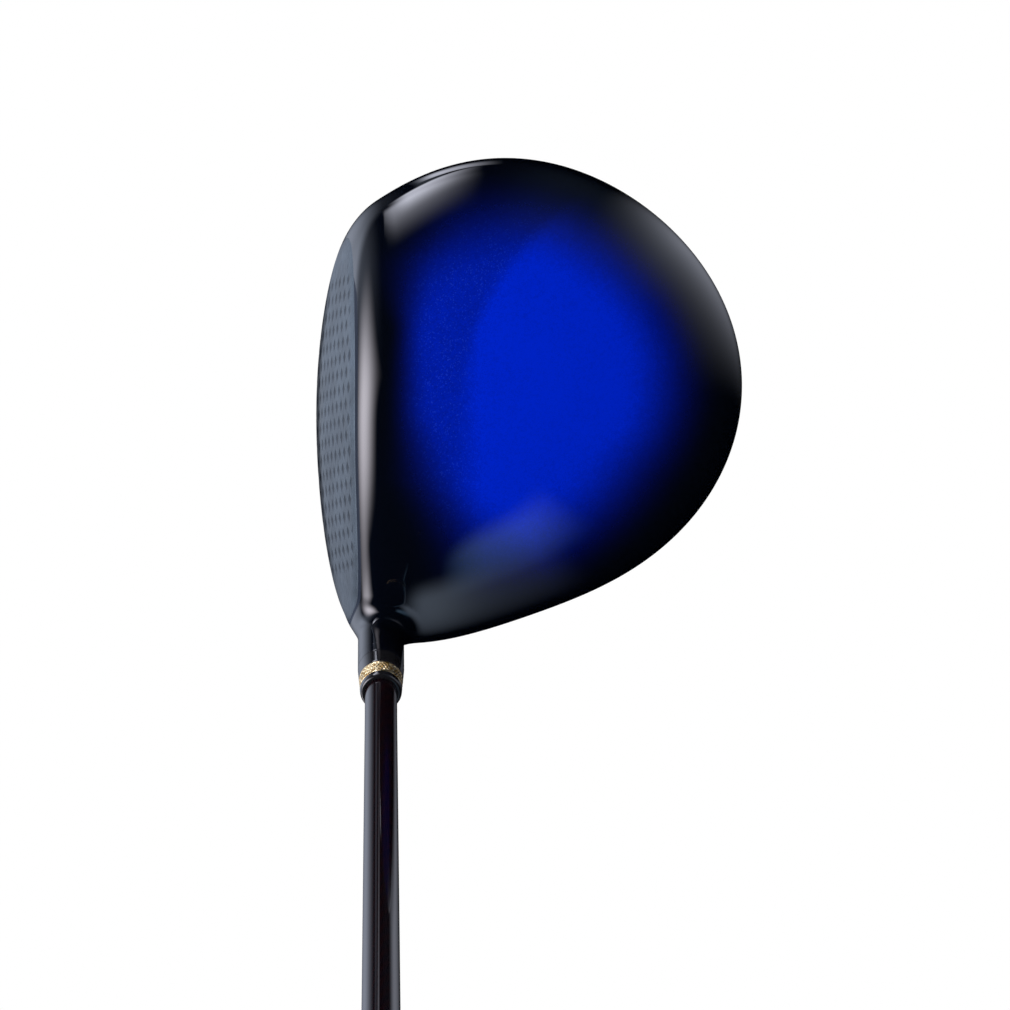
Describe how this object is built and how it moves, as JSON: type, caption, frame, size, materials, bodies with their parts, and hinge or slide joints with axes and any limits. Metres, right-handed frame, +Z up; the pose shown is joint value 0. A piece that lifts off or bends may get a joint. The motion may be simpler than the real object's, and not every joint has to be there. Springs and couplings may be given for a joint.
{
  "type": "golf driver",
  "caption": "Hollow-headed golf driver with a blue-black glossy crown, bulged satin face, bonded neck with gold-ringed ferrule, tapered shaft, rubber grip and a screw-in sole weight",
  "frame": {"origin": "middle of the flat pad on the sole, on the ground plane, with the club at address", "axes": "Z up; +X to the rear of the head, so the face looks along -X; +Y to the toe; the shaft leans from the head towards -Y and +Z at the lie angle"},
  "size_m": [0.1158, 0.7036, 1.0015],
  "materials": {
    "crown_paint": "glossy blue metallic fading to black at the rim, clear coat",
    "sole_paint": "glossy black paint",
    "face_metal": "satin blasted titanium with fine etched lens marks",
    "neck_paint": "glossy black paint",
    "plug_metal": "turned",
    "rib_metal": "raw sheet titanium",
    "hot_melt": "soft tacky resin",
    "badge_metal": "satin anodised",
    "port_metal": "blasted titanium",
    "weight_metal": "turned tungsten alloy",
    "washer_rubber": "soft black",
    "ferrule_plastic": "polished black",
    "ring_metal": "pale champagne gold, fine knurl",
    "epoxy": "cured resin",
    "shaft_paint": "near-black lacquer over wound carbon fibre",
    "cork": "cork",
    "tape": "masking tape",
    "grip_rubber": "matt black moulded rubber"
  },
  "bodies": {
    "club": {"crown_shell": "crown_paint", "sole_shell": "sole_paint", "face_plate": "face_metal", "neck_pipe": "neck_paint", "neck_plug": "plug_metal", "sole_ribs": "rib_metal", "hot_melt_pad": "hot_melt", "sole_badge": "badge_metal", "weight_port": "port_metal", "ferrule_collar": "ferrule_plastic", "ferrule_ring": "ring_metal", "ferrule_end_collar": "ferrule_plastic", "epoxy_layer": "epoxy", "shaft_tube": "shaft_paint", "shaft_tip_plug": "cork", "grip_tape": "tape", "grip_sleeve": "grip_rubber", "grip_cap": "grip_rubber"},
    "washer": {"weight_washer": "washer_rubber"},
    "weight": {"weight_screw": "weight_metal"}
  },
  "joints": [
    {"name": "weight_travel", "type": "slide", "parent": "club", "child": "washer", "axis": [0.2571, 0, -0.9664], "range_m": [0, 0.0065]},
    {"name": "weight_turn", "type": "hinge", "parent": "washer", "child": "weight", "pos_m": [0.052, 0, 0.00495], "axis": [0.2571, 0, -0.9664], "range_deg": [0, 2340]}
  ],
  "couplings": [
    {"joint": "weight_travel", "follows": "weight_turn", "m_per_rad": 0.00015915}
  ]
}
